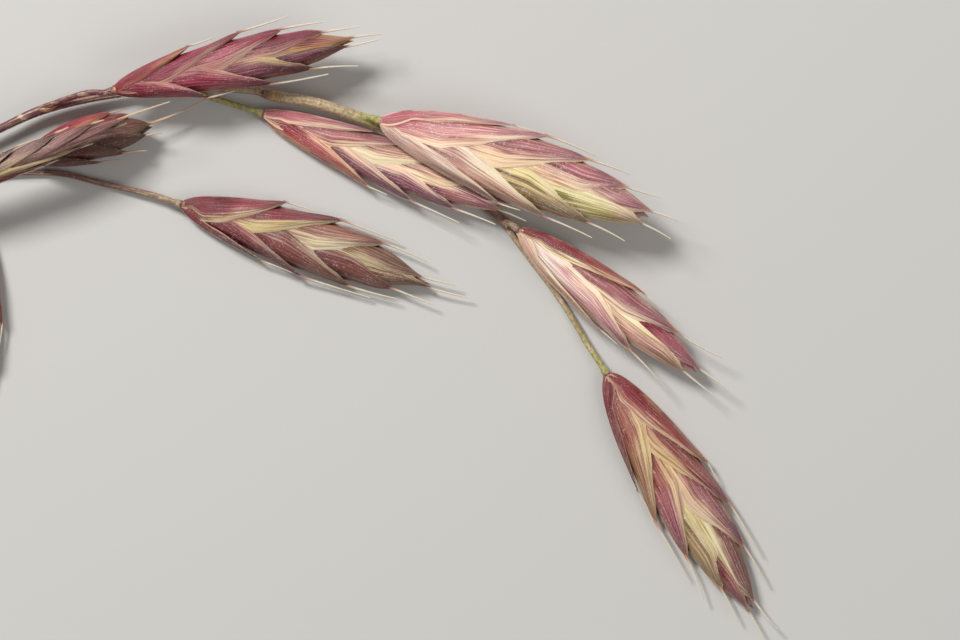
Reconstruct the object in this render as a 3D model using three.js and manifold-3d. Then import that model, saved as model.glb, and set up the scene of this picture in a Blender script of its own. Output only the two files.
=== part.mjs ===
// Rescue brome: the arching tip of a flowering panicle, cut from its culm and laid on its side.
// Millimetres. +Z is up. The flat spikelets lie face up, and the lowest of them rest on Z = 0.
// Places are measured from the middle of the view from above. The whole plant is then moved
// by FOOT, so that the origin lies under the middle of its box.
import * as THREE from "three";
import { mergeVertices } from "three/addons/utils/BufferGeometryUtils.js";
import Module from "manifold-3d";

const wasm = await Module();
wasm.setup();

// The middle of the plant's box, in the coordinates of the lists below.
const FOOT = [-23.01, -0.98];

// A spikelet: two glumes and its florets in two rows, each floret a lemma folded along its keel.
const WIDEST_AT = 0.5;
const TIP_WIDTH_SHARE = 0.15;
const FIRST_LEMMA_ROOT = 0.8;
const LAST_FLORET_STEP = 0.4;
const LOWER_GLUME_SHORTER = 3.0;
const UPPER_GLUME_SHORTER = 1.6;
const ROOT_HALF_WIDTH = 0.4;
const BLADE_HALF_THICK = 0.3;
const SHOULDER_INSET = 0.55;
const OVERLAP_PAST_MIDLINE = 0.75;
const TIP_HALF_WIDTH = 0.18;
const LAYER_DROP = 0.6;
const CREST_RISE = 0.1;
const KEEL_NEST = 0.6;

// An awn: the stiff bristle that each lemma ends in.
const AWN_ROOT_RADIUS = 0.2;
const AWN_TIP_RADIUS = 0.1;
const AWN_SPREAD = 0.16;
const AWN_SECTION = [[1, 0], [0.7, 0.7], [0, 1], [-0.7, 0.7], [-0.7, -0.7], [0, -1], [0.7, -0.7]];

// Stems are round, and each ends just short of the spikelet it carries.
const STEM_SIDES = 8;
const SEAT_GAP = 0.3;
const PEDICEL_HALF = 0.3;
const PEDICEL_COLLAR = 0.42;

// reach is how far the first lemma's tip is from the root, and step is how much further each next
// one reaches. side is the row of the lower glume: 1 to the left of the way from root to tip, -1 to
// the right. tilt turns a spikelet about its own length, bow bends it sideways, arch lifts its middle.
const SPIKELETS = [
  { name: "spikelet_1_low", root: [-51.0, 11.5, 1.05], tip: [-53.8, -12.5, 1.05], halfWidth: 3.5,
    halfThick: 1.5, florets: 7, reach: 14.0, step: 2.2, side: -1, tilt: 0, bow: 0.8, arch: 0,
    awn: 4.2, seed: 1 },
  { name: "spikelet_2_edgewise", root: [-59.8, 9.9, 3.3], tip: [-35.6, 19.8, 5.2], halfWidth: 1.6,
    halfThick: 0.95, florets: 6, reach: 15.5, step: 2.4, side: -1, tilt: 1.15, bow: 0.3, arch: 1.0,
    awn: 5.0, seed: 2 },
  { name: "spikelet_3_behind", root: [-45.3, 16.3, 1.85], tip: [-31.4, 20.2, 2.2], halfWidth: 2.5,
    halfThick: 1.25, florets: 4, reach: 10.5, step: 1.6, side: -1, tilt: 0, bow: 0.3, arch: 0,
    awn: 6.0, seed: 3 },
  { name: "spikelet_4_lower", root: [-29.9, 11.6, 1.05], tip: [-5.1, 3.6, 1.05], halfWidth: 3.15,
    halfThick: 1.5, florets: 7, reach: 13.9, step: 2.26, side: -1, tilt: 0, bow: 0.2, arch: 0,
    awn: 5.0, seed: 4 },
  { name: "spikelet_5_upper", root: [-36.6, 22.9, 3.6], tip: [-12.4, 27.9, 3.9], halfWidth: 2.7,
    halfThick: 1.4, florets: 7, reach: 13.7, step: 2.05, side: 1, tilt: 0, bow: 0.2, arch: 0.2,
    awn: 4.8, seed: 5 },
  { name: "spikelet_6_under", root: [-21.8, 20.7, 0.95], tip: [2.8, 11.3, 2.85], halfWidth: 2.6,
    halfThick: 1.3, florets: 7, reach: 15.0, step: 2.15, side: 1, tilt: 0, bow: -0.3, arch: -0.45,
    awn: 4.2, seed: 6 },
  { name: "spikelet_7_over", root: [-10.0, 19.9, 3.25], tip: [17.0, 10.2, 4.2], halfWidth: 3.8,
    halfThick: 1.6, florets: 7, reach: 16.6, step: 2.25, side: 1, tilt: 0, bow: 0.2, arch: 0.8,
    awn: 4.8, seed: 7 },
  { name: "spikelet_8_bend", root: [3.9, 9.0, 1.9], tip: [21.5, -5.1, 2.2], halfWidth: 2.8,
    halfThick: 1.4, florets: 4, reach: 16.4, step: 2.6, side: -1, tilt: 0, bow: 0.1, arch: 0.4,
    awn: 4.9, seed: 8 },
  { name: "spikelet_9_end", root: [12.7, -5.4, 1.05], tip: [26.9, -28.2, 1.05], halfWidth: 3.6,
    halfThick: 1.5, florets: 7, reach: 15.4, step: 2.3, side: -1, tilt: 0, bow: 0.1, arch: 0,
    awn: 4.6, seed: 9 },
];

// Stems are lists of [x, y, z, radius], from the cut end outwards.
const MAIN_AXIS = [
  [-74.8, -5.2, 0.85, 0.8], [-71.6, 2.0, 0.9, 0.75], [-65.2, 8.8, 1.2, 0.7],
  [-60.0, 12.6, 1.4, 0.45], [-54.0, 16.2, 1.5, 0.42], [-48.0, 19.2, 1.5, 0.4],
  [-43.4, 21.2, 1.4, 0.5], [-37.0, 22.6, 1.2, 0.45], [-30.0, 23.2, 1.1, 0.45],
  [-23.4, 23.1, 1.3, 0.38], [-19.6, 22.3, 1.6, 0.55], [-16.0, 21.6, 1.8, 0.6],
  [-10.4, 19.7, 1.9, 0.6], [-7.4, 18.55, 1.15, 0.42], [-4.5, 16.35, 0.5, 0.38],
  [-1.0, 12.9, 0.4, 0.36], [0.9, 11.2, 0.6, 0.52], [2.9, 9.5, 0.75, 0.56],
];
const LOWER_WHORL = [-65.2, 8.8, 1.2];
const PEDICELS = {
  spikelet_1_low: [LOWER_WHORL, [-60.0, 10.4, 0.8], [-55.5, 11.7, 0.6], [-52.8, 12.6, 0.7]],
  spikelet_2_edgewise: [LOWER_WHORL, [-63.0, 8.9, 2.0]],
  spikelet_3_behind: [[-52.0, 13.9, 0.7], [-48.6, 15.4, 1.2]],
  spikelet_4_lower: [LOWER_WHORL, [-60.0, 11.2, 1.0], [-54.0, 13.4, 0.7], [-49.0, 14.6, 0.5],
    [-42.6, 14.75, 0.4], [-37.4, 13.6, 0.5], [-33.0, 12.6, 0.8]],
  spikelet_5_upper: [[-44.0, 21.2, 1.7], [-41.4, 22.1, 2.5], [-39.2, 22.7, 3.2]],
  spikelet_6_under: [[-31.5, 23.1, 1.2], [-28.4, 22.7, 1.2], [-26.0, 22.0, 1.1], [-24.0, 21.4, 1.0]],
  spikelet_7_over: [[-11.6, 20.2, 2.2]],
  spikelet_8_bend: [[2.4, 9.9, 0.9]],
  spikelet_9_end: [[2.4, 9.8, 0.6], [3.4, 8.3, 0.45], [5.2, 5.9, 0.4], [6.8, 3.8, 0.4],
    [8.3, 1.7, 0.45], [9.6, -0.4, 0.55], [10.8, -2.5, 0.8]],
};

const COLOURS = {
  panicle_axis: 0x8d8450,
  dark: 0x8b3a44,
  dusty: 0xa9606a,
};

// A draw from 0 to 1 that is the same each time for the same seed and number.
function chance(seed, number) {
  const wave = Math.sin(seed * 12.9898 + number * 78.233) * 43758.5453;
  return wave - Math.floor(wave);
}

function lerp(a, b, share) {
  return a + (b - a) * share;
}

// Half the width of a spikelet, as a share of its widest, at a share of its length.
function outline(share) {
  if (share < WIDEST_AT) {
    return Math.sin((Math.PI / 2) * (Math.max(share, 0) / WIDEST_AT) ** 0.6);
  }
  const past = Math.min((share - WIDEST_AT) / (1 - WIDEST_AT), 1);
  return 1 - (1 - TIP_WIDTH_SHARE) * past ** 1.7;
}

// A closed solid through a list of rings of points, each ring with as many points as the last.
function loft(rings) {
  const count = rings[0].length;
  const corners = rings.flat();
  const faces = [];
  for (let ring = 0; ring + 1 < rings.length; ring += 1) {
    for (let side = 0; side < count; side += 1) {
      const a = ring * count + side;
      const b = ring * count + ((side + 1) % count);
      faces.push(a, b, a + count, b, b + count, a + count);
    }
  }
  const last = (rings.length - 1) * count;
  for (let side = 1; side + 1 < count; side += 1) {
    faces.push(0, side + 1, side, last, last + side, last + side + 1);
  }
  return solidFrom(corners, faces);
}

// A manifold solid from points and triangles, with its faces turned outwards.
function solidFrom(corners, faces) {
  const geometry = new THREE.BufferGeometry().setFromPoints(corners);
  geometry.setIndex(faces);
  const merged = mergeVertices(geometry, 1e-4);
  const triVerts = new Uint32Array(merged.index.array);
  const made = manifoldOf(merged.attributes.position.array, triVerts);
  if (made.volume() > 0) {
    return made;
  }
  for (let i = 0; i < triVerts.length; i += 3) {
    [triVerts[i + 1], triVerts[i + 2]] = [triVerts[i + 2], triVerts[i + 1]];
  }
  return manifoldOf(merged.attributes.position.array, triVerts);
}

function manifoldOf(vertProperties, triVerts) {
  return new wasm.Manifold(new wasm.Mesh({ numProp: 3, vertProperties, triVerts }));
}

// The largest piece of a solid, without the small hollows that joining can seal inside it.
function oneBody(solid) {
  return solid.decompose().reduce((best, piece) => (piece.volume() > best.volume() ? piece : best));
}

// What lies under the resting plane is taken off, which leaves small flat spots to rest on.
function restOnPlane(solid) {
  const depth = 10;
  const below = new THREE.BoxGeometry(300, 300, depth).translate(0, 0, -depth / 2);
  below.deleteAttribute("normal");
  below.deleteAttribute("uv");
  const merged = mergeVertices(below, 1e-4);
  return solid.subtract(manifoldOf(merged.attributes.position.array, new Uint32Array(merged.index.array)));
}

// The midline of a spikelet: where a point lies that is along it, out to its left and above its face.
function midlineOf(spec) {
  const root = new THREE.Vector3(...spec.root);
  const tip = new THREE.Vector3(...spec.tip);
  const run = tip.clone().sub(root);
  const length = Math.hypot(run.x, run.y);
  const left = new THREE.Vector3(-run.y / length, run.x / length, 0);
  return {
    length,
    place(along, out, above) {
      const share = along / length;
      const swell = 4 * share * (1 - Math.min(share, 1));
      const point = root.clone().addScaledVector(run, share);
      point.addScaledVector(left, spec.bow * swell + out * Math.cos(spec.tilt) - above * Math.sin(spec.tilt));
      point.z += spec.arch * swell + out * Math.sin(spec.tilt) + above * Math.cos(spec.tilt);
      return point;
    },
  };
}

// The glumes and lemmas of a spikelet in order from its root, with the row that each is in.
// The last floret is small: it starts where its row has it, but ends close to the one before.
function organsOf(spec) {
  const organs = [
    { side: spec.side, from: 0, to: spec.reach - LOWER_GLUME_SHORTER, wrap: 0.35, awn: 0 },
    { side: -spec.side, from: 0.25, to: spec.reach - UPPER_GLUME_SHORTER, wrap: 0.6, awn: 0 },
  ];
  for (let floret = 0; floret < spec.florets; floret += 1) {
    const share = floret / (spec.florets - 1);
    const steps = floret < spec.florets - 1 ? floret : floret - 1 + LAST_FLORET_STEP;
    const shift = (chance(spec.seed, floret) - 0.5) * 0.5;
    organs.push({
      side: floret % 2 === 0 ? spec.side : -spec.side,
      from: FIRST_LEMMA_ROOT + spec.step * floret,
      to: spec.reach + spec.step * steps + shift,
      wrap: 1,
      awn: spec.awn * lerp(1.15, 0.65, share) * (0.85 + 0.3 * chance(spec.seed, floret + 20)),
      splay: AWN_SPREAD * (chance(spec.seed, floret + 40) - 0.15),
      dip: 0.1 * (chance(spec.seed, floret + 60) - 0.5),
    });
  }
  return organs;
}

// One ring across an organ: its keel on the outside, and on each face a shoulder and a margin.
function organRing(spec, midline, organ, share) {
  const along = lerp(organ.from, organ.to, share);
  const wide = spec.halfWidth * outline(along / midline.length);
  const spread = organ.awn > 0 ? 1 - (1 - Math.min(share / 0.45, 1)) ** 2 : 1;
  const keel = Math.max(wide * spread - KEEL_NEST * (1 - share) * organ.wrap, ROOT_HALF_WIDTH);
  const tipKeel = spec.halfWidth * outline(organ.to / midline.length);
  const margin = Math.min(
    lerp(-Math.min(OVERLAP_PAST_MIDLINE, wide * 0.5 + 0.1), tipKeel - TIP_HALF_WIDTH * 2, share ** 1.15),
    keel - TIP_HALF_WIDTH * 2,
  );
  const shoulder = Math.max(keel - SHOULDER_INSET, lerp(margin, keel, 0.5));
  const crest = lerp(margin, shoulder, 0.55);
  const drop = 1 - LAYER_DROP * (1 - share) * organ.wrap;
  const face = (out) => {
    const lens = Math.sqrt(Math.max(1 - (Math.abs(out) / (wide + 0.05)) ** 2.4, 0));
    const swell = spec.halfThick * Math.min(outline(along / midline.length) + 0.12, 1);
    return Math.max(swell * lens * drop, BLADE_HALF_THICK);
  };
  const place = (out, above) => midline.place(along, out * organ.side, above);
  return [
    place(keel, 0),
    place(shoulder, face(shoulder)),
    place(crest, face(crest) + CREST_RISE * organ.wrap),
    place(margin, face(margin)),
    place(margin, -face(margin)),
    place(crest, -face(crest) - CREST_RISE * organ.wrap),
    place(shoulder, -face(shoulder)),
  ];
}

// The rings of an awn, which carries on from the tip of its lemma.
function awnRings(midline, organ, keel) {
  return [0.45, 1].map((share) => {
    const radius = lerp(AWN_ROOT_RADIUS, AWN_TIP_RADIUS, share);
    const out = keel - TIP_HALF_WIDTH + organ.awn * (organ.splay * share + 0.02 * share * share);
    const above = organ.awn * organ.dip * share;
    const place = (side, up) =>
      midline.place(organ.to + organ.awn * share, (out + side * radius) * organ.side, above + up * radius);
    return AWN_SECTION.map(([side, up]) => place(side, up));
  });
}

function organSolid(spec, midline, organ) {
  const rings = [0, 0.1, 0.24, 0.4, 0.57, 0.76, 0.9, 1].map((share) => organRing(spec, midline, organ, share));
  if (organ.awn > 0) {
    const keel = spec.halfWidth * outline(organ.to / midline.length);
    rings.push(...awnRings(midline, organ, Math.max(keel, ROOT_HALF_WIDTH)));
  }
  return loft(rings);
}

function spikeletSolid(spec) {
  const midline = midlineOf(spec);
  const organs = organsOf(spec).map((organ) => organSolid(spec, midline, organ));
  const whole = organs.reduce((joined, organ) => joined.add(organ));
  return oneBody(restOnPlane(whole));
}

// A round stem along a smooth curve through its points, as wide at each as the list says.
function stemSolid(points, steps) {
  const curve = new THREE.CatmullRomCurve3(points.map(([x, y, z]) => new THREE.Vector3(x, y, z)));
  const rings = [];
  for (let step = 0; step <= steps; step += 1) {
    const at = (step / steps) * (points.length - 1);
    const before = Math.min(Math.floor(at), points.length - 2);
    const radius = lerp(points[before][3], points[before + 1][3], at - before);
    rings.push(stemRing(curve, step / steps, radius));
  }
  return loft(rings);
}

function stemRing(curve, share, radius) {
  const centre = curve.getPoint(share);
  const ahead = curve.getTangent(share);
  const across = new THREE.Vector3(0, 0, 1).cross(ahead).normalize();
  const up = ahead.clone().cross(across);
  const ring = [];
  for (let side = 0; side < STEM_SIDES; side += 1) {
    const turn = (2 * Math.PI * (side + 0.5)) / STEM_SIDES;
    ring.push(centre.clone()
      .addScaledVector(across, radius * Math.cos(turn))
      .addScaledVector(up, radius * Math.sin(turn)));
  }
  return ring;
}

// A pedicel leaves its node, ends in a small collar, and stops just short of its spikelet.
function pedicelSolid(spec, start) {
  const root = new THREE.Vector3(...spec.root);
  const inwards = new THREE.Vector3(...spec.tip).sub(root).setZ(0).normalize();
  const seat = root.clone().addScaledVector(inwards, -SEAT_GAP);
  const neck = seat.clone().addScaledVector(inwards, -0.7);
  const points = start.map(([x, y, z]) => [x, y, z, PEDICEL_HALF]);
  points.push([neck.x, neck.y, neck.z, PEDICEL_HALF]);
  points.push([seat.x, seat.y, seat.z, PEDICEL_COLLAR]);
  return stemSolid(points, 3 * (points.length - 1));
}

function axisSolid() {
  let whole = stemSolid(MAIN_AXIS, 2 * (MAIN_AXIS.length - 1));
  for (const spec of SPIKELETS) {
    whole = whole.add(pedicelSolid(spec, PEDICELS[spec.name]));
  }
  return oneBody(whole);
}

function meshOf(name, solid, colour) {
  const { vertProperties, triVerts } = solid.getMesh();
  const geometry = new THREE.BufferGeometry();
  geometry.setAttribute("position", new THREE.BufferAttribute(vertProperties, 3));
  geometry.setIndex(new THREE.BufferAttribute(triVerts, 1));
  const material = new THREE.MeshStandardMaterial({ color: colour, roughness: 0.6, metalness: 0 });
  const mesh = new THREE.Mesh(geometry, material);
  mesh.name = name;
  return mesh;
}

const plant = new THREE.Group();
plant.add(meshOf("panicle_axis", axisSolid(), COLOURS.panicle_axis));
for (const spec of SPIKELETS) {
  plant.add(meshOf(spec.name, spikeletSolid(spec), spec.seed < 6 ? COLOURS.dark : COLOURS.dusty));
}
plant.position.set(-FOOT[0], -FOOT[1], 0);

export default plant;
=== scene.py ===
# Rescue brome: the arching tip of a flowering panicle, laid on its side, with its fine surface.
# Sizes are in millimetres until a piece is finished, and +Z is up. Places are measured from the
# middle of the view from above, and FOOT moves the whole plant so that it lies over the frame's origin.
import math
import random
from collections import namedtuple

import bmesh
import bpy
from mathutils import Matrix, Vector, noise


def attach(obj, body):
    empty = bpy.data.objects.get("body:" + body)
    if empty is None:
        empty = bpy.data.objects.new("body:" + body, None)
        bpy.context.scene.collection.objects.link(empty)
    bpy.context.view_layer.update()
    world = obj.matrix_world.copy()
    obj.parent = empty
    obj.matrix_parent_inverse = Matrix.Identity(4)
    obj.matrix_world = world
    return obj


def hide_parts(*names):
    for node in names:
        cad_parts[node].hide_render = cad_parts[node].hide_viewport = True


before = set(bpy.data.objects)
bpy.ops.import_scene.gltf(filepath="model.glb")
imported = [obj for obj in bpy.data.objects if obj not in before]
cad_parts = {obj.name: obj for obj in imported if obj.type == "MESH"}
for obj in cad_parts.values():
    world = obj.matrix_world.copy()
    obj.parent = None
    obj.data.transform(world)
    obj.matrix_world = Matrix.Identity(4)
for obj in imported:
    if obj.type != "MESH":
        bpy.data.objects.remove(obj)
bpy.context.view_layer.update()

MM = 0.001
FOOT = (-23.01, -0.98)

# The shape of a spikelet, close to the solid that it replaces. A share goes from 0 at the root to 1 at
# the tip, and a rounding is the power that a curve swells or tapers by.
WIDEST_AT = 0.5
ROOT_ROUNDING = 0.6
TIP_ROUNDING = 1.7
TIP_WIDTH_SHARE = 0.15
ROOT_HALF_WIDTH = 0.4
GATHER_FROM = 0.8
FACE_ROUNDING = 2.4
FACE_CLEARANCE = 0.05
THICKNESS_AT_TIP = 0.12
THINNEST_FACE = 0.07

# Where lemmas start, how far they reach and how they lie in one another.
FIRST_LEMMA_ROOT = 0.1
HIDDEN_ROOT = 3.0
LAST_FLORET_STEP = 0.4
REACH_DRIFT = 0.5
FIRST_LEMMA_SUNK = 0.45
SUNK_STEP = 0.17
LAYER_DROP = 0.6
DROP_ROUNDING = 1.4
KEEL_NEST = 1.0
NEST_ROUNDING = 0.7
SPREAD_BY = 0.2
FLARE_FROM = 0.7
TIP_FLARE = 0.36
LAST_FLARE = 0.04
SHOULDER_INSET = 0.7

# The margin of a lemma crosses the midline and turns out to the keel in a V.
OVERLAP_PAST_MIDLINE = 0.75
NARROW_OVERLAP = 0.1
V_SLOPE = 0.42
V_SPREAD = 0.12
EARLIEST_TURN = 0.05
V_ROUNDING = 1.1
MARGIN_WAVE = 0.06
MARGIN_WAVES = 17
TIP_FLANK = 0.07

# The lower and the upper glume: where each starts, how far it wraps the keels within it, how deep it
# lies near its root, and how much shorter it is than the reach of the first lemma.
GLUMES = [
    dict(start=0, wrap=0.35, sunk=0.25, shorter=3.5),
    dict(start=0.15, wrap=0.6, sunk=0.34, shorter=2.3),
]
GLUME_POINT = 1.9
GLUME_POINT_THICK = 0.8
GLUME_TAPER_FROM = 0.4
GLUME_ROUNDING = 1.4
ROOT_LAP = 0.25

# The fine surface of a bract, which is a glume or a lemma.
BRACT_ACROSS = 44
BRACT_ALONG = 40
BRACT_THICK = 0.045
KEEL_CROWDING = 1.15
KEEL_CREST = 0.05
KEEL_CREST_SHARPNESS = 12
CREST_RISE = 0.34
CREST_ROUNDING = 0.85
NERVES = 7
NERVED_SHARE = 0.78
NERVE_RISE = 0.03
NERVE_SHARPNESS = 1.5
MARGIN_PRESS = 0.03
COAT_DRIFT = 0.35

# The last floret, which stays rolled up inside the others.
CORE_SIDES = 24
CORE_RINGS = 40
CORE_ROOT = 0.2
CORE_INSIDE = 0.36
CORE_AT_TIP = 0.9
CORE_THICKNESS_AT_TIP = 0.06

# Awns.
FIRST_AWN_SHARE = 1.15
LAST_AWN_SHARE = 0.65
AWN_DRIFT = 0.3
AWN_LAP = 0.5
AWN_ROOT_RADIUS = 0.14
AWN_TIP_RADIUS = 0.06
AWN_ROUNDING = 0.8
AWN_SPREAD = 0.12
AWN_SPREAD_MIDDLE = 0.35
AWN_DIP = 0.1
AWN_BEND = 0.24
AWN_BEND_MIDDLE = 0.4
AWN_RINGS = 14
AWN_SIDES = 6

# Hairs, and the small teeth along keels. A pair is the least and the most of a draw.
HAIRS_A_FACE = 110
HAIR_LENGTH = 0.26
HAIR_LENGTH_SHARES = (0.5, 1.1)
HAIR_RADIUS = 0.015
HAIRS_ACROSS = (0.06, 0.97)
HAIRS_ALONG = (0.08, 0.93)
HAIR_LEAN = (0.25, 0.6)
TOOTH_STEP = 0.3
TOOTH_PLACES = (0.2, 0.8)
TOOTH_LENGTH = 0.24
TOOTH_RADIUS = 0.034
TOOTH_LEAN = 0.5
LAST_TOOTH = 0.97
STEP_ON = 0.02

# Stems.
SEAT_GAP = 0.3
SEAT_REACH = 0.35
PEDICEL_HALF = 0.3
PEDICEL_COLLAR = 0.42
COLLAR_LENGTH = 0.7
COLLAR_TONE = -0.5
STEM_SIDES = 20
STEM_RINGS_A_MM = 2.2
FEWEST_RINGS = 8
STEM_RIBS = 7
STEM_RIB_DEPTH = 0.07
STEM_HAIRS_A_MM = 16
STEM_HAIR_LENGTH_SHARES = (0.5, 1.0)
STEM_HAIR_LEAN = (0.2, 1.2)
STEM_HAIR_SEAT = 0.9
SWELLING_RINGS = 12
SWELLING_END = 0.62
STEM_SEED = 7

# How meshes are joined and shaded.
SAME_PLACE = 0.0005
SHARPEST_SMOOTH = math.radians(50)

# Where the draws for each purpose start, so that no two purposes share one.
DRAWS_FROM = dict(reach=0, awn=20, splay=40, dip=60, colour=80, bend=120)

# The studio. Places and sizes of the floor and lights are in metres.
VIEW_WIDTH = 96.0
CAMERA_LENS = 250.0
SENSOR_WIDTH = 36.0
NEAREST_SEEN = 0.01
FOCUS_HEIGHT = 2.5
FLOOR_HALF = 1.5
FLOOR_COLOUR = "c4c2be"
LIGHTS = [
    dict(name="key", place=(-0.28, 0.34, 0.4), size=0.16, power=3.9),
    dict(name="fill", place=(0.42, -0.22, 0.4), size=0.4, power=1.0),
]
SKY_COLOUR = (1.0, 0.98, 0.96, 1.0)
SKY_POWER = 0.26

# reach is how far the first lemma's tip is from the root, and step is how much further each next
# one reaches. side is the row of the lower glume. tilt turns a spikelet about its own length, bow
# bends it sideways and arch lifts its middle. glumes gives how wide the flanks of the lower and the
# upper glume are. coats names each bract's coat from the lower glume to the last lemma, light is
# how bright they all are, and frost is how much fine down shows on them. light also carries painted
# light and shade over the plant: spikelets 2, 3 and 5 are darkened with painted shade, and 6, 7 and
# 8 brightened with painted light. Some have values of their own for what is otherwise the same:
# slope and drop for V_SLOPE and LAYER_DROP, shorter and point for the glumes, gather for how far
# the end draws in, last_awn, and awn_tone for how warm awns stay.
SPIKELETS = [
    dict(name="spikelet_1_low", root=(-51.0, 11.5, 1.05), tip=(-53.8, -12.5, 1.05), half_width=3.5,
         half_thick=1.5, florets=7, reach=14.0, step=2.2, side=-1, tilt=0, bow=0.8, arch=0,
         awn=4.2, seed=1, slot="spikelet_dark", glumes=(1.2, 2.6), light=0.9, frost=0.3,
         coats="wine wine rosewood umber rosewood olive umber olive olive"),
    dict(name="spikelet_2_edgewise", root=(-59.8, 9.9, 3.3), tip=(-35.6, 19.8, 5.2), half_width=1.5,
         half_thick=0.82, florets=6, reach=18.0, step=1.92, side=-1, tilt=0.6, bow=0.3, arch=1.0,
         awn=0.9, last_awn=5.0, awn_tone=0.4, seed=2, slot="spikelet_dark", glumes=(0.9, 1.3), slope=0.2,
         drop=0.35, light=0.78, frost=0.3, coats="crimson striped crimson striped striped dusk dusk dusk"),
    dict(name="spikelet_3_behind", root=(-45.3, 16.3, 1.85), tip=(-33.0, 19.25, 2.15), half_width=2.5,
         half_thick=1.25, florets=4, reach=9.8, step=1.2, side=-1, tilt=0, bow=0.3, arch=0,
         awn=2.0, last_awn=7.0, awn_tone=0.5, seed=3, slot="spikelet_dark", glumes=(1.0, 2.5),
         shorter=(2.5, 0.6), light=0.75, frost=0.2, coats="bark scarlet bark shade bark bark"),
    dict(name="spikelet_4_lower", root=(-29.9, 11.6, 1.05), tip=(-5.1, 3.6, 1.05), half_width=3.15,
         half_thick=1.5, florets=7, reach=13.9, step=2.26, side=-1, tilt=0, bow=0.2, arch=0, gather=0.5,
         awn=5.6, seed=4, slot="spikelet_dark", glumes=(0.65, 2.6), shorter=(4.2, 3.8), point=2.9,
         light=0.95, frost=0.3,
         coats="maroon wine maroon claret umber russet umber bronze bronze"),
    dict(name="spikelet_5_upper", root=(-36.6, 22.9, 3.6), tip=(-12.4, 27.9, 3.9), half_width=2.7,
         half_thick=1.4, florets=7, reach=13.7, step=2.05, side=1, tilt=0, bow=0.2, arch=0.2, gather=0.4,
         awn=5.0, seed=5, slot="spikelet_dark", glumes=(1.1, 1.7), shorter=(5.2, 4.2), point=2.4,
         light=0.8, frost=0.2,
         coats="ember crimson pinked crimson pinked plum pinked plum amber"),
    dict(name="spikelet_6_under", root=(-21.8, 20.7, 0.95), tip=(2.8, 11.3, 2.85), half_width=2.6,
         half_thick=1.3, florets=7, reach=15.0, step=2.15, side=1, tilt=0, bow=-0.3, arch=-0.45,
         awn=4.2, seed=6, slot="spikelet_dusty", glumes=(1.2, 2.1), light=1.18, frost=0.45,
         coats="rose rust mauve violet shell violet shell mauve violet"),
    dict(name="spikelet_7_over", root=(-10.0, 19.9, 3.25), tip=(17.0, 10.2, 4.2), half_width=3.8,
         half_thick=1.6, florets=7, reach=16.6, step=2.25, side=1, tilt=0, bow=0.2, arch=0.8,
         awn=4.8, seed=7, slot="spikelet_dusty", glumes=(1.0, 1.6), light=1.13, frost=0.7,
         coats="rose lined rose peach mauve olive mauve lime blush"),
    dict(name="spikelet_8_bend", root=(3.9, 9.0, 1.9), tip=(21.5, -5.1, 2.2), half_width=2.8,
         half_thick=1.4, florets=4, reach=16.4, step=2.6, side=-1, tilt=0, bow=0.1, arch=0.4,
         awn=4.9, seed=8, slot="spikelet_dusty", glumes=(0.7, 1.5), light=1.2, frost=0.5,
         coats="shell rosewood blush mauve shell cherry"),
    dict(name="spikelet_9_end", root=(12.7, -5.4, 1.05), tip=(26.9, -28.2, 1.05), half_width=3.6,
         half_thick=1.5, florets=7, reach=15.4, step=2.3, side=-1, tilt=0, bow=0.1, arch=0,
         awn=4.6, seed=9, slot="spikelet_dusty", glumes=(0.8, 2.2), light=0.9, frost=0.4,
         coats="maroon rust tan clay clay mauve olive russet clay"),
]

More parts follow.
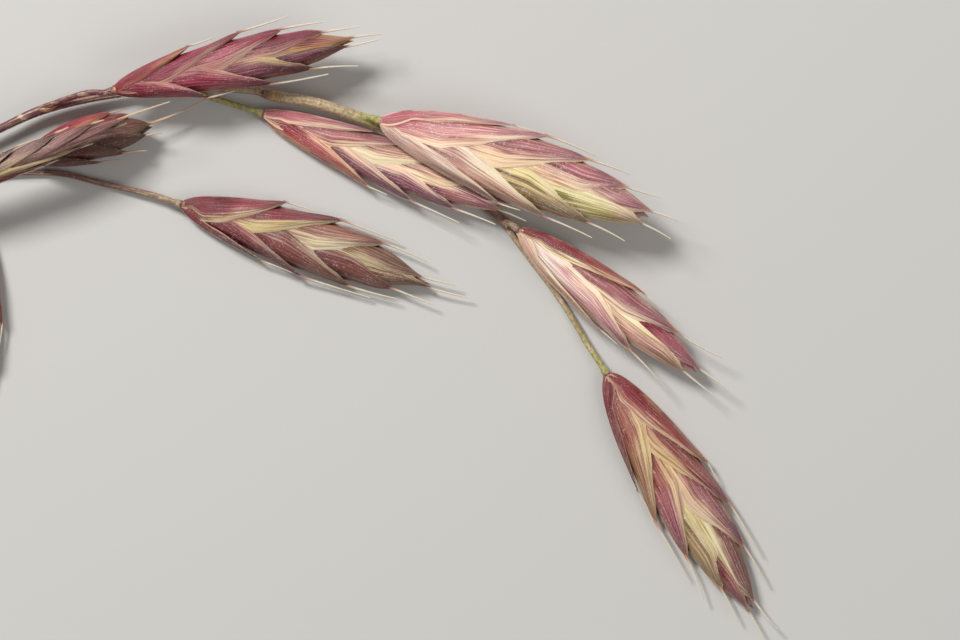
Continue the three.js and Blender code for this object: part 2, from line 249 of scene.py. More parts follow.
# A coat is how one bract is coloured: its flank from root to tip, its margin near the root and near
# the tip, and its keel, with how far in from the edge the margin's colour and the keel's colour reach.
Coat = namedtuple("Coat", "flank margin keel margin_in keel_in")
COATS = {
    "crimson": Coat("90102e a02440 8a3246", "d09484 cca08c", "b06c60", 0.22, 0.08),
    "pinked": Coat("901232 a02846 883c48", "d89c8c d8ac94", "b87868", 0.34, 0.08),
    "ember": Coat("94142f a83444 b05848", "bc6450 e4bc80", "9c3848", 0.5, 0.2),
    "scarlet": Coat("98142c b02840 a84440", "cc8444 d49c5c", "a85040", 0.5, 0.1),
    "cherry": Coat("ac4c58 a44a58 945058", "e4b8a4 e0b0a4", "c88c84", 0.26, 0.12),
    "wine": Coat("741c26 942c3a 804440", "d8b890 ecd8bc", "a86458", 0.3, 0.08),
    "claret": Coat("8c1c30 843840 74484c", "dcc488 e4d4a0", "a87060", 0.32, 0.08),
    "maroon": Coat("842830 84343a 7c4840", "cc9c88 d0b4a0", "b07c68", 0.16, 0.08),
    "russet": Coat("c08c7c 9c6858 845450", "ecdcb0 e4d8b4", "b87c5c", 0.36, 0.1),
    "rosewood": Coat("7c3036 9c424a a06450", "f0d8a8 e8c898", "b87c5c", 0.34, 0.14),
    "umber": Coat("7c3034 783e38 7c5040", "c4a48c b8a48c", "a08070", 0.2, 0.08),
    "bronze": Coat("c89884 987058 7c5848", "e4d49c d0b894", "a88c68", 0.34, 0.1),
    "shade": Coat("8c2434 90343c 6c3430", "a08048 a88c50", "7c4c40", 0.24, 0.1),
    # This coat is a brown-maroon darkened further by painted shade, for the bracts of spikelet 3 that lie
    # under spikelets 2 and 5.
    "bark": Coat("64282c 6c342e 6c4434", "7c5c44 846c4c", "7c5c4c", 0.2, 0.1),
    "striped": Coat("805048 8c5c54 7c5850", "e4c890 dcc498", "7c5850", 0.6, 0.1),
    "dusk": Coat("945c54 946058 88544c", "c8a888 bc9c80", "98705c", 0.3, 0.1),
    "plum": Coat("842c38 80384a 703c40", "cca078 d0b07c", "b07c60", 0.3, 0.1),
    "amber": Coat("8c3c48 a05450 b0785c", "dc9c58 e8b468", "e0a860", 0.36, 0.2),
    "violet": Coat("90545a 844c54 885460", "ecc4a8 e4c8b0", "c89c8c", 0.34, 0.1),
    "mauve": Coat("ac6c6c a06264 925a60", "f0cca0 e8ccac", "d0a488", 0.34, 0.12),
    "rose": Coat("b46066 b87676 a06c76", "f0c8a8 f0d8b8", "dcb4a4", 0.34, 0.12),
    "blush": Coat("ecd0c4 bc8484 9c6068", "f0d4b8 ecccac", "e4c0a4", 0.4, 0.1),
    "lined": Coat("d0a898 ac8c7c 987464", "f0d4bc ecd0ac", "d8b09c", 0.34, 0.12),
    "peach": Coat("dca89c c49080 b08870", "f4dcc0 f0dcb0", "e0bc9c", 0.38, 0.12),
    "shell": Coat("d8aa98 bc8878 a88068", "f4dcb4 f0d4a8", "dcb898", 0.38, 0.12),
    "rust": Coat("902c34 a44444 bc7450", "ecc09c ecd0b0", "c88860", 0.28, 0.24),
    "tan": Coat("a05c50 a87458 a07450", "e8cc94 dcc090", "c09468", 0.34, 0.12),
    "clay": Coat("a8645c a05c54 945460", "ecc890 e8cca0", "c08c70", 0.26, 0.12),
    "olive": Coat("b08070 a08458 9c8060", "e8d898 e0cca0", "bca078", 0.36, 0.1),
    "lime": Coat("c0a080 b4a864 c0a080", "ecdca4 ecdcb0", "c8b488", 0.38, 0.12),
}

# Stems are lists of (x, y, z, radius, tone), from the cut end outwards. A stem's tone goes from 0 for
# purple-brown over 0.5 for tan to 1 for yellow-green, and is -1 at a pale or orange swelling.
MAIN_AXIS = [
    (-74.8, -5.2, 0.85, 0.8, 0.3), (-71.6, 2.0, 0.9, 0.75, 0.2), (-65.2, 8.8, 1.2, 0.72, 0.1),
    (-60.0, 12.6, 1.4, 0.46, 0.0), (-54.0, 16.2, 1.5, 0.43, 0.0), (-48.0, 19.2, 1.5, 0.42, 0.0),
    (-43.4, 21.2, 1.4, 0.5, 0.0), (-37.0, 22.6, 1.2, 0.45, 0.2), (-30.0, 23.2, 1.1, 0.45, 0.4),
    (-23.4, 23.1, 1.3, 0.42, 0.5), (-19.6, 22.3, 1.6, 0.58, 0.55), (-16.0, 21.6, 1.8, 0.6, 0.5),
    (-10.4, 19.7, 1.9, 0.6, 0.85), (-7.4, 18.55, 1.15, 0.46, 0.7), (-4.5, 16.35, 0.5, 0.4, 0.4),
    (-1.0, 12.9, 0.4, 0.38, 0.3), (0.9, 11.2, 0.6, 0.54, 0.25), (2.9, 9.5, 0.75, 0.58, 0.3),
]
LOWER_WHORL = (-65.2, 8.8, 1.2)
PEDICELS = {
    "spikelet_1_low": [LOWER_WHORL, (-60.0, 10.4, 0.8), (-55.5, 11.7, 0.6), (-52.8, 12.6, 0.7)],
    "spikelet_2_edgewise": [LOWER_WHORL, (-63.0, 8.9, 2.0)],
    "spikelet_3_behind": [(-52.0, 13.9, 0.7), (-48.6, 15.4, 1.2)],
    "spikelet_4_lower": [LOWER_WHORL, (-60.0, 11.2, 1.0), (-54.0, 13.4, 0.7), (-49.0, 14.6, 0.5),
                         (-42.6, 14.75, 0.4), (-37.4, 13.6, 0.5), (-33.0, 12.6, 0.8)],
    "spikelet_5_upper": [(-44.0, 21.2, 1.7), (-41.4, 22.1, 2.5), (-39.2, 22.7, 3.2)],
    "spikelet_6_under": [(-31.5, 23.1, 1.2), (-28.4, 22.7, 1.2), (-26.0, 22.0, 1.1), (-24.0, 21.4, 1.0)],
    "spikelet_7_over": [(-11.6, 20.2, 2.2)],
    "spikelet_8_bend": [(2.4, 9.9, 0.9)],
    "spikelet_9_end": [(2.4, 9.8, 0.6), (3.4, 8.3, 0.45), (5.2, 5.9, 0.4), (6.8, 3.8, 0.4),
                       (8.3, 1.7, 0.45), (9.6, -0.4, 0.55), (10.8, -2.5, 0.8)],
}
PEDICEL_TONES = {
    "spikelet_1_low": (0.1, 0.5), "spikelet_2_edgewise": (0.1, 0.2), "spikelet_3_behind": (0.1, 0.3),
    "spikelet_4_lower": (0.0, 0.45), "spikelet_5_upper": (0.0, 0.1), "spikelet_6_under": (0.8, 1.0),
    "spikelet_7_over": (0.9, 1.0), "spikelet_8_bend": (0.3, 0.4), "spikelet_9_end": (0.45, 1.0),
}

# Places where a stem swells at a joint: where, how long, how thick and what tone.
SWELLINGS = [
    dict(at=(-43.3, 21.3, 1.65), ahead=(6.0, 1.9, 0), length=1.9, radius=0.46, tone=-0.8),
    dict(at=(-20.4, 22.45, 1.55), ahead=(4.2, -0.9, 0), length=3.0, radius=0.62, tone=-0.35),
    dict(at=(-65.2, 8.8, 1.2), ahead=(5, 4.5, 0), length=3.0, radius=0.95, tone=0.1),
]


def draw_of(spec, purpose, number):
    """A draw from 0 to 1 that is the same each time for the same spikelet, purpose and number."""
    wave = math.sin(spec["seed"] * 12.9898 + (DRAWS_FROM[purpose] + number) * 78.233) * 43758.5453
    return wave - math.floor(wave)


def lerp(a, b, share):
    return a + (b - a) * share


def ease(value, low, high):
    """0 below low, 1 above high, and smooth between."""
    share = min(max((value - low) / (high - low), 0.0), 1.0)
    return share * share * (3 - 2 * share)


def outline(share):
    """Half the width of a spikelet, as a share of its widest, at a share of its length."""
    if share < WIDEST_AT:
        return math.sin(math.pi / 2 * (max(share, 0.0) / WIDEST_AT) ** ROOT_ROUNDING)
    past = min((share - WIDEST_AT) / (1 - WIDEST_AT), 1.0)
    return 1 - (1 - TIP_WIDTH_SHARE) * past ** TIP_ROUNDING


class Midline:
    """The middle of a spikelet: where a point lies that is along it, out to its left and above its face."""

    def __init__(self, spec):
        self.spec = spec
        self.root = Vector(spec["root"])
        self.run = Vector(spec["tip"]) - self.root
        self.length = math.hypot(self.run.x, self.run.y)
        self.left = Vector((-self.run.y, self.run.x, 0)) / self.length
        self.turn = (math.cos(spec["tilt"]), math.sin(spec["tilt"]))

    def place(self, along, out, above):
        share = along / self.length
        swell = 4 * share * (1 - min(share, 1.0))
        cos, sin = self.turn
        point = self.root + self.run * share
        point += self.left * (self.spec["bow"] * swell + out * cos - above * sin)
        point.z += self.spec["arch"] * swell + out * sin + above * cos
        return point


def glumes_of(spec):
    """The two glumes, the lower one first, on opposite sides."""
    glumes = []
    for number, glume in enumerate(GLUMES):
        shorter = spec["shorter"][number] if "shorter" in spec else glume["shorter"]
        glumes.append(dict(
            lemma=False,
            side=spec["side"] * (-1) ** number,
            start=glume["start"],
            end=spec["reach"] - shorter,
            wrap=glume["wrap"],
            sunk=glume["sunk"],
            flank=spec["glumes"][number],
            awn=spec.get("point", GLUME_POINT),
            awn_thick=GLUME_POINT_THICK,
            splay=0,
            dip=0,
        ))
    return glumes


def lemmas_of(spec):
    """The lemmas in order from the root, in two rows by turns."""
    lemmas = []
    last = spec["florets"] - 1
    for floret in range(spec["florets"]):
        steps = floret if floret < last else last - 1 + LAST_FLORET_STEP
        shift = REACH_DRIFT * (draw_of(spec, "reach", floret) - 0.5)
        awn = spec["awn"] * lerp(FIRST_AWN_SHARE, LAST_AWN_SHARE, floret / last)
        awn *= 1 + AWN_DRIFT * (draw_of(spec, "awn", floret) - 0.5)
        if floret == last:
            awn = spec.get("last_awn", awn)
        lemmas.append(dict(
            lemma=True,
            side=spec["side"] * (-1) ** floret,
            start=max(FIRST_LEMMA_ROOT + spec["step"] * floret - HIDDEN_ROOT, FIRST_LEMMA_ROOT),
            end=spec["reach"] + spec["step"] * steps + shift,
            wrap=1,
            sunk=min(FIRST_LEMMA_SUNK + SUNK_STEP * floret, 1),
            awn=awn,
            awn_thick=1,
            splay=AWN_SPREAD * (draw_of(spec, "splay", floret) - AWN_SPREAD_MIDDLE),
            dip=AWN_DIP * (draw_of(spec, "dip", floret) - 0.5),
        ))
    return lemmas


def bracts_of(spec):
    """The glumes and lemmas of a spikelet in order from its root, each with its coat."""
    bracts = glumes_of(spec) + lemmas_of(spec)
    for number, bract in enumerate(bracts):
        bract["number"] = number
        bract["coat"] = COATS[spec["coats"].split()[number]]
        bract["draw"] = draw_of(spec, "colour", number)
    return bracts


class Bract:
    """The surface of one glume or lemma: a sheet folded along its keel, with a margin on each face."""

    def __init__(self, spec, midline, bract):
        self.spec = spec
        self.midline = midline
        self.bract = bract
        self.tip_keel = self.wide(bract["end"])
        self.flare = TIP_FLARE if bract["number"] < spec["florets"] else LAST_FLARE
        crossing = (self.tip_keel + OVERLAP_PAST_MIDLINE) / spec.get("slope", V_SLOPE)
        kept = 1 - crossing / (bract["end"] - bract["start"])
        self.turn = max(kept + V_SPREAD * (bract["draw"] - 0.5), EARLIEST_TURN)

    def wide(self, along):
        """Half the width of the spikelet, whose last bracts may be gathered to its middle."""
        share = along / self.midline.length
        gathered = self.spec.get("gather", 0) * ease(share, GATHER_FROM, 1)
        return self.spec["half_width"] * outline(share) * (1 - gathered)

    def keel(self, share):
        """How far out the keel is at a share of the bract's length."""
        bract = self.bract
        wide = self.wide(lerp(bract["start"], bract["end"], share))
        spread = 1 - (1 - min(share / SPREAD_BY, 1.0)) ** 2 if bract["lemma"] else 1
        room = ease(wide / self.spec["half_width"], 0.1, 1.0)
        nested = KEEL_NEST * (1 - share) ** NEST_ROUNDING * bract["wrap"] * room
        flared = self.flare * ease(share, FLARE_FROM, 1.0) * bract["wrap"]
        return max(wide * spread - nested + flared, ROOT_HALF_WIDTH)

    def margin(self, share, wide):
        """How far out the margin is: past the middle at a lemma's root, and out at the keel at any tip."""
        keel = self.keel(share)
        line = self.lemma_margin(share, wide) if self.bract["lemma"] else self.glume_margin(share, keel)
        wave = MARGIN_WAVE * math.sin(share * MARGIN_WAVES + self.bract["draw"] * 40) * (1 - share)
        return min(line + wave, keel - TIP_FLANK)

    def lemma_margin(self, share, wide):
        past_turn = max(share - self.turn, 0.0) / (1 - self.turn)
        overlap = max(-OVERLAP_PAST_MIDLINE, -wide * 0.5 - NARROW_OVERLAP)
        return lerp(overlap, self.tip_keel + self.flare - TIP_FLANK, past_turn ** V_ROUNDING)

    def glume_margin(self, share, keel):
        taper = max(share - GLUME_TAPER_FROM, 0.0) / (1 - GLUME_TAPER_FROM)
        line = keel - self.bract["flank"] * ease(share, -0.05, 0.25) * (1 - taper ** GLUME_ROUNDING)
        return min(line, lerp(-ROOT_LAP, keel, ease(share, 0.03, 0.4)))

    def clear_of(self, along, out):
        """How far a place in the same row stands clear of this bract: inside its margin, or past its tip."""
        share = (along - self.bract["start"]) / (self.bract["end"] - self.bract["start"])
        inside = self.margin(min(share, 1.0), self.wide(along)) - out
        return inside + max(share - 1, 0.0) * 4.0

    def height(self, out, wide, along, share):
        """How high each face stands over the middle plane, before its fine relief."""
        lens = math.sqrt(max(1 - (abs(out) / (wide + FACE_CLEARANCE)) ** FACE_ROUNDING, 0.0))
        swell = self.spec["half_thick"] * min(outline(along / self.midline.length) + THICKNESS_AT_TIP, 1.0)
        drop = self.spec.get("drop", LAYER_DROP) * (1 - share) ** DROP_ROUNDING * self.bract["sunk"]
        return max(swell * lens * (1 - drop), THINNEST_FACE)

    def point(self, across, share, lift=0.0):
        """A point of the surface. across runs from -1 on one margin over the keel at 0 to 1 on the other."""
        bract, from_keel = self.bract, abs(across)
        along = lerp(bract["start"], bract["end"], share)
        wide = self.wide(along)
        keel = self.keel(share)
        out = lerp(keel, self.margin(share, wide), from_keel)
        inset = min((keel - out) / SHOULDER_INSET, 1.0)
        fold = math.sqrt(max(1 - (1 - inset) ** 2, 0.0))
        above = self.height(out, wide, along, share) * fold
        above += self.relief(from_keel, share) * min(inset * 2, 1.0)
        above += lift
        crest = KEEL_CREST * max(1 - from_keel * KEEL_CREST_SHARPNESS, 0.0)
        out += crest * (1 - ease(share, 0.85, 1.0))
        return self.midline.place(along, out * bract["side"], math.copysign(above, -across))

    def relief(self, from_keel, share):
        """Nerves that stand up from a swollen flank, and a margin pressed on what it covers."""
        full = min(share / 0.12, 1.0) * min((1 - share) / 0.1, 1.0)
        nerve = 0.5 + 0.5 * math.cos(from_keel / NERVED_SHARE * NERVES * 2 * math.pi)
        nerve = NERVE_RISE * nerve ** NERVE_SHARPNESS * (1 - ease(from_keel, 0.66, 0.8))
        swollen = math.sin(math.pi * min(from_keel, 1.0) ** CREST_ROUNDING) * ease(share, 0.2, 0.65)
        pressed = MARGIN_PRESS * ease(from_keel, 0.8, 1.0)
        return (nerve + CREST_RISE * swollen - pressed) * full


def new_piece():
    """An empty mesh in the making, with the values and colours that its materials read at each point."""
    making = bmesh.new()
    for layer in ("across", "along", "tone", "draw", "clear", "margin_in", "keel_in", "frost"):
        making.verts.layers.float.new(layer)
    for layer in ("flank", "margin", "keel"):
        making.verts.layers.float_color.new(layer)
    return making


def mark(making, vert, **values):
    """Sets some of a point's values."""
    for name, value in values.items():
        vert[making.verts.layers.float[name]] = value


def paint(code, light=1.0):
    """A colour given as it looks on a screen, in the values that shaders use."""
    shares = [int(code[start:start + 2], 16) / 255 for start in (0, 2, 4)]
    values = [s / 12.92 if s <= 0.04045 else ((s + 0.055) / 1.055) ** 2.4 for s in shares]
    return Vector([min(value * light, 1.0) for value in values] + [1.0])


def colour_bract(making, vert, shape, across, share):
    """Lays a bract's coat on one point, with its patches drifting along the bract."""
    # light scales all of a spikelet's coat colours, and so carries its painted light and shade.
    coat, draw, light = shape.bract["coat"], shape.bract["draw"], shape.spec["light"]
    drift = noise.noise(Vector((across * 2.6, share * 4.5, draw * 40)))
    along = share + COAT_DRIFT * drift
    low, middle, high = [paint(code, light) for code in coat.flank.split()]
    margin_low, margin_high = [paint(code, light) for code in coat.margin.split()]
    layers = making.verts.layers.float_color
    vert[layers["flank"]] = low.lerp(middle, ease(along, 0.2, 0.6)).lerp(high, ease(along, 0.6, 1.0))
    vert[layers["margin"]] = margin_low.lerp(margin_high, ease(along, 0.45, 0.9))
    vert[layers["keel"]] = paint(coat.keel, light)
    mark(making, vert, margin_in=coat.margin_in, keel_in=coat.keel_in, frost=shape.spec["frost"])


def pour(part, whole, material_index):
    """Adds a finished part to a piece."""
    for face in part.faces:
        face.smooth = True
        face.material_index = material_index
    for edge in part.edges:
        edge.smooth = not edge.is_manifold or edge.calc_face_angle(0) < SHARPEST_SMOOTH
    passing = bpy.data.meshes.new("passing")
    part.to_mesh(passing)
    part.free()
    whole.from_mesh(passing)
    bpy.data.meshes.remove(passing)


def add_bract(whole, shape, cover):
    """A thin sheet in the shape of a bract. cover is the bract in the same row that lies over its root."""
    sheet = new_piece()
    bract = shape.bract
    bmesh.ops.create_grid(sheet, x_segments=BRACT_ACROSS, y_segments=BRACT_ALONG, size=1)
    for vert in sheet.verts:
        across = math.copysign(abs(vert.co.x) ** KEEL_CROWDING, vert.co.x)
        share = (vert.co.y + 1) / 2
        clear = 1.0
        if cover:
            along = lerp(bract["start"], bract["end"], share)
            out = lerp(shape.keel(share), shape.margin(share, shape.wide(along)), abs(across))
            clear = cover.clear_of(along, out)
        mark(sheet, vert, across=abs(across), along=share, draw=bract["draw"], clear=clear)
        colour_bract(sheet, vert, shape, abs(across), share)
        vert.co = shape.point(across, share)
    bmesh.ops.recalc_face_normals(sheet, faces=sheet.faces[:])
    bmesh.ops.solidify(sheet, geom=sheet.faces[:], thickness=BRACT_THICK)
    bmesh.ops.recalc_face_normals(sheet, faces=sheet.faces[:])
    pour(sheet, whole, 0)


def add_tube(whole, centre, radius, sides, rings, tone, draw, material_index, ribs=0, rib_depth=0.0):
    """A closed tube whose centre, radius and tone are functions of its share along."""
    tube = new_piece()
    bmesh.ops.create_grid(tube, x_segments=sides, y_segments=rings + 2, size=1)
    for vert in tube.verts:
        ring = round((vert.co.y + 1) / 2 * (rings + 2))
        share = min(max((ring - 1) / rings, 0.0), 1.0)
        turn = math.pi * vert.co.x
        size = 0.0 if ring in (0, rings + 2) else radius(share)
        size *= 1 - rib_depth * (0.5 + 0.5 * math.cos(turn * ribs))
        _, beside, upwards = across_of(centre, share)
        mark(tube, vert, across=(vert.co.x + 1) / 2, along=share, tone=tone(share), draw=draw)
        vert.co = centre(share) + (beside * math.cos(turn) + upwards * math.sin(turn)) * size
    bmesh.ops.remove_doubles(tube, verts=tube.verts[:], dist=SAME_PLACE)
    bmesh.ops.recalc_face_normals(tube, faces=tube.faces[:])
    pour(tube, whole, material_index)


def add_awn(whole, shape):
    """The stiff bristle that a lemma ends in, with a bend of its own."""
    bract, midline = shape.bract, shape.midline
    keel = shape.keel(1.0) - TIP_FLANK / 2
    bend = AWN_BEND * (draw_of(shape.spec, "bend", bract["number"]) - AWN_BEND_MIDDLE)

    def centre(share):
        along = bract["end"] - AWN_LAP * (1 - share) + bract["awn"] * share
        out = keel + bract["awn"] * (bract["splay"] * share + bend * share * share)
        return midline.place(along, out * bract["side"], bract["awn"] * bract["dip"] * share)

    def radius(share):
        return bract["awn_thick"] * lerp(AWN_ROOT_RADIUS, AWN_TIP_RADIUS, share ** AWN_ROUNDING)

    def tone(share):
        return shape.spec.get("awn_tone", 0.0)

    add_tube(whole, centre, radius, AWN_SIDES, AWN_RINGS, tone, bract["draw"], 1)


def add_core(whole, shape):
    """The last floret, still rolled up. It runs down the middle and closes the view between the others."""
    core = new_piece()
    midline = shape.midline
    bmesh.ops.create_grid(core, x_segments=CORE_SIDES, y_segments=CORE_RINGS, size=1)
    for vert in core.verts:
        share = (vert.co.y + 1) / 2
        turn = math.pi * vert.co.x
        along = lerp(CORE_ROOT, shape.bract["end"], share)
        full = lerp(CORE_INSIDE, CORE_AT_TIP, ease(share, 0.78, 0.94))
        full *= math.sqrt(min(share * 20, (1 - share) * 6, 1.0))
        thick = shape.spec["half_thick"] * min(outline(along / midline.length) + CORE_THICKNESS_AT_TIP, 1.0)
        # clear stays low over most of the core, so the bract finish deepens it there as under a covering
        # bract, with painted shade where it shows between the bracts over it.
        mark(core, vert, across=abs(vert.co.x), along=share, draw=0.5, clear=ease(share, 0.8, 0.95))
        colour_bract(core, vert, shape, abs(vert.co.x), share)
        out = shape.wide(along) * full * math.cos(turn)
        vert.co = midline.place(along, out, thick * full * math.sin(turn))
    bmesh.ops.remove_doubles(core, verts=core.verts[:], dist=SAME_PLACE)
    bmesh.ops.recalc_face_normals(core, faces=core.faces[:])
    pour(core, whole, 0)


def add_spike(bed, foot, ahead, length, radius):
    """One hair or tooth: a slim cone with three sides."""
    turned = Vector((0, 0, 1)).rotation_difference(ahead).to_matrix().to_4x4()
    middle = foot + ahead * (length / 2 - radius)
    bmesh.ops.create_cone(bed, cap_ends=True, segments=3, radius1=radius, radius2=0, depth=length,
                          matrix=Matrix.Translation(middle) @ turned)


def add_flank_hairs(bed, shape, draws):
    """Short hairs over both faces, leaning to the tip."""
    for face in (-1, 1):
        for _ in range(HAIRS_A_FACE):
            across = face * draws.uniform(*HAIRS_ACROSS)
            share = draws.uniform(*HAIRS_ALONG)
            foot = shape.point(across, share)
            onward = (shape.point(across, share + STEP_ON) - foot).normalized()
            outward = (shape.point(across, share, lift=0.05) - foot).normalized()
            lean = (onward + outward * draws.uniform(*HAIR_LEAN)).normalized()
            add_spike(bed, foot, lean, HAIR_LENGTH * draws.uniform(*HAIR_LENGTH_SHARES), HAIR_RADIUS)


def add_keel_teeth(bed, shape, draws):
    """Small teeth along the keel, which point forwards."""
    length = shape.bract["end"] - shape.bract["start"]
    for number in range(int(length / TOOTH_STEP)):
        share = (number + draws.uniform(*TOOTH_PLACES)) * TOOTH_STEP / length
        if share > LAST_TOOTH:
            continue
        foot = shape.point(0, share)
        onward = (shape.point(0, share + STEP_ON) - foot).normalized()
        outward = (foot - shape.point(0.3, share)).normalized()
        add_spike(bed, foot, (onward + outward * TOOTH_LEAN).normalized(), TOOTH_LENGTH, TOOTH_RADIUS)


def add_hairs(whole, shape):
    bed = new_piece()
    draws = random.Random(shape.spec["seed"] * 100 + shape.bract["number"])
    add_flank_hairs(bed, shape, draws)
    add_keel_teeth(bed, shape, draws)
    bmesh.ops.recalc_face_normals(bed, faces=bed.faces[:])
    pour(bed, whole, 2)


def finish_piece(name, making, materials, node):
    """Turns a mesh in the making into an object in the frame that stands for a node."""
    for vert in making.verts:
        vert.co = Vector((vert.co.x - FOOT[0], vert.co.y - FOOT[1], max(vert.co.z, 0.0))) * MM
    bmesh.ops.triangulate(making, faces=[face for face in making.faces if len(face.verts) > 4])
    mesh = bpy.data.meshes.new(name)
    making.to_mesh(mesh)
    making.free()
    for material in materials:
        mesh.materials.append(material)
    piece = bpy.data.objects.new(name, mesh)
    bpy.context.scene.collection.objects.link(piece)
    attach(piece, "root")
    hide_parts(node)


def make_spikelet(spec, materials):
    midline = Midline(spec)
    whole = new_piece()
    shapes = [Bract(spec, midline, bract) for bract in bracts_of(spec)]
    add_core(whole, shapes[-1])
    for number, shape in enumerate(shapes):
        add_bract(whole, shape, shapes[number - 2] if number > 1 else None)
        add_awn(whole, shape)
        add_hairs(whole, shape)
    finish_piece(spec["name"] + "_bracts", whole, materials, spec["name"])


def curve_through(points):
    """A smooth curve through points: its centre, and what else each point holds, by share along."""
    places = [Vector(point[:3]) for point in points]
    before = places[0] * 2 - places[1]
    after = places[-1] * 2 - places[-2]
    knots = [before] + places + [after]

    def centre(share):
        at = share * (len(places) - 1)
        index = min(int(at), len(places) - 2)
        t = at - index
        a, b, c, d = knots[index:index + 4]
        return 0.5 * (b * 2 + (c - a) * t + (a * 2 - b * 5 + c * 4 - d) * t * t
                      + (b * 3 - a - c * 3 + d) * t ** 3)

    def value(place):
        def by_share(share):
            at = share * (len(points) - 1)
            index = min(int(at), len(points) - 2)
            return lerp(points[index][place], points[index + 1][place], ease(at - index, 0, 1))
        return by_share

    return centre, value(3), value(4)


def across_of(centre, share):
    """The directions ahead, beside and up at a share along a curve."""
    ahead = (centre(min(share + 0.01, 1.0)) - centre(max(share - 0.01, 0.0))).normalized()
    beside = Vector((0, 0, 1)).cross(ahead).normalized()
    return ahead, beside, ahead.cross(beside)


def add_stem_hairs(whole, centre, radius, length, draws):
    bed = new_piece()
    for _ in range(int(length * STEM_HAIRS_A_MM)):
        share, turn = draws.uniform(0.01, 0.99), draws.uniform(0, 2 * math.pi)
        ahead, beside, upwards = across_of(centre, share)
        outward = beside * math.cos(turn) + upwards * math.sin(turn)
        lean = (outward + ahead * draws.uniform(*STEM_HAIR_LEAN)).normalized()
        foot = centre(share) + outward * radius(share) * STEM_HAIR_SEAT
        add_spike(bed, foot, lean, HAIR_LENGTH * draws.uniform(*STEM_HAIR_LENGTH_SHARES), HAIR_RADIUS)
    bmesh.ops.recalc_face_normals(bed, faces=bed.faces[:])
    pour(bed, whole, 1)


def add_stem(whole, points, draws):
    """A ribbed stem through a list of points, with its hairs."""
    centre, radius, tone = curve_through(points)
    length = sum((Vector(a[:3]) - Vector(b[:3])).length for a, b in zip(points, points[1:]))
    rings = max(int(length * STEM_RINGS_A_MM), FEWEST_RINGS)
    add_tube(whole, centre, radius, STEM_SIDES, rings, tone, draws.random(), 0, STEM_RIBS, STEM_RIB_DEPTH)
    add_stem_hairs(whole, centre, radius, length, draws)


def add_swelling(whole, swelling, draw):
    """A joint of a stem, swollen and pale or orange."""
    middle = Vector(swelling["at"])
    half = Vector(swelling["ahead"]).normalized() * swelling["length"] / 2

    def centre(share):
        return middle + half * (2 * share - 1)

    def radius(share):
        return swelling["radius"] * lerp(SWELLING_END, 1, math.sin(math.pi * share))

    def tone(share):
        return swelling["tone"] * math.sin(math.pi * share)

    add_tube(whole, centre, radius, STEM_SIDES, SWELLING_RINGS, tone, draw, 0)


def pedicel_points(spec):
    """A pedicel leaves its node, widens to a small collar and holds the root of its spikelet."""
    root = Vector(spec["root"])
    run = Vector(spec["tip"]) - root
    inwards = Vector((run.x, run.y, 0)).normalized()
    places = [(Vector(place), PEDICEL_HALF) for place in PEDICELS[spec["name"]]]
    places.append((root - inwards * (SEAT_GAP + COLLAR_LENGTH), PEDICEL_HALF))
    places.append((root - inwards * SEAT_GAP, PEDICEL_COLLAR))
    places.append((root + inwards * SEAT_REACH, PEDICEL_COLLAR * 0.9))
    first, last = PEDICEL_TONES[spec["name"]]
    points = []
    for number, (place, radius) in enumerate(places):
        points.append((*place, radius, lerp(first, last, number / (len(places) - 1))))
    points[-1] = (*points[-1][:4], COLLAR_TONE)
    return points


def make_stems(materials):
    whole = new_piece()
    draws = random.Random(STEM_SEED)
    add_stem(whole, MAIN_AXIS, draws)
    for spec in SPIKELETS:
        add_stem(whole, pedicel_points(spec), draws)
    for swelling in SWELLINGS:
        add_swelling(whole, swelling, draws.random())
    finish_piece("stems", whole, materials, "panicle_axis")


class Finish:
    """The nodes of one material. Each call adds a node and gives back what comes out of it."""

    def __init__(self, name):
        self.material = bpy.data.materials.new(name)
        self.material.use_nodes = True
        self.tree = self.material.node_tree
        self.shader = self.tree.nodes["Principled BSDF"]

    def node(self, kind, inputs, out, **settings):
        node = self.tree.nodes.new(kind)
        for name, value in settings.items():
            setattr(node, name, value)
        for name, value in inputs.items():
            if isinstance(value, bpy.types.NodeSocket):
                self.tree.links.new(value, node.inputs[name])
            else:
                node.inputs[name].default_value = value
        return node.outputs[out]

    def at(self, name, out="Fac"):
        return self.node("ShaderNodeAttribute", {}, out, attribute_name=name)

    def work(self, operation, a, b=0.0, clamp=False):
        return self.node("ShaderNodeMath", {0: a, 1: b}, 0, operation=operation, use_clamp=clamp)

    def ease(self, value, low, high):
        inputs = {"Value": value, "From Min": low, "From Max": high}
        return self.node("ShaderNodeMapRange", inputs, 0, interpolation_type="SMOOTHSTEP")

    def mix(self, share, a, b):
        inputs = {0: share, 6: a, 7: b}
        return self.node("ShaderNodeMix", inputs, 2, data_type="RGBA")

    def vector(self, x, y, z):
        return self.node("ShaderNodeCombineXYZ", {0: x, 1: y, 2: z}, 0)

    def cloud(self, vector, detail=3.0, scale=1.0):
        inputs = {"Vector": vector, "Scale": scale, "Detail": detail}
        return self.node("ShaderNodeTexNoise", inputs, "Fac")

    def times(self, a, b):
        return self.work("MULTIPLY", a, b)

    def plus(self, a, b, clamp=False):
        return self.work("ADD", a, b, clamp)

    def around(self, cloud, width):
        """A cloud spread evenly about nothing, so that it can shift another value either way."""
        return self.times(self.work("SUBTRACT", cloud, 0.5), width)

    def tint(self, colour, value, saturation):
        inputs = {"Value": value, "Saturation": saturation, "Color": colour}
        return self.node("ShaderNodeHueSaturation", inputs, 0)

    def set(self, name, value):
        if isinstance(value, bpy.types.NodeSocket):
            self.tree.links.new(value, self.shader.inputs[name])
        else:
            self.shader.inputs[name].default_value = value

    def bump(self, height, strength, distance):
        inputs = {"Height": height, "Strength": strength, "Distance": distance}
        self.set("Normal", self.node("ShaderNodeBump", inputs, 0))


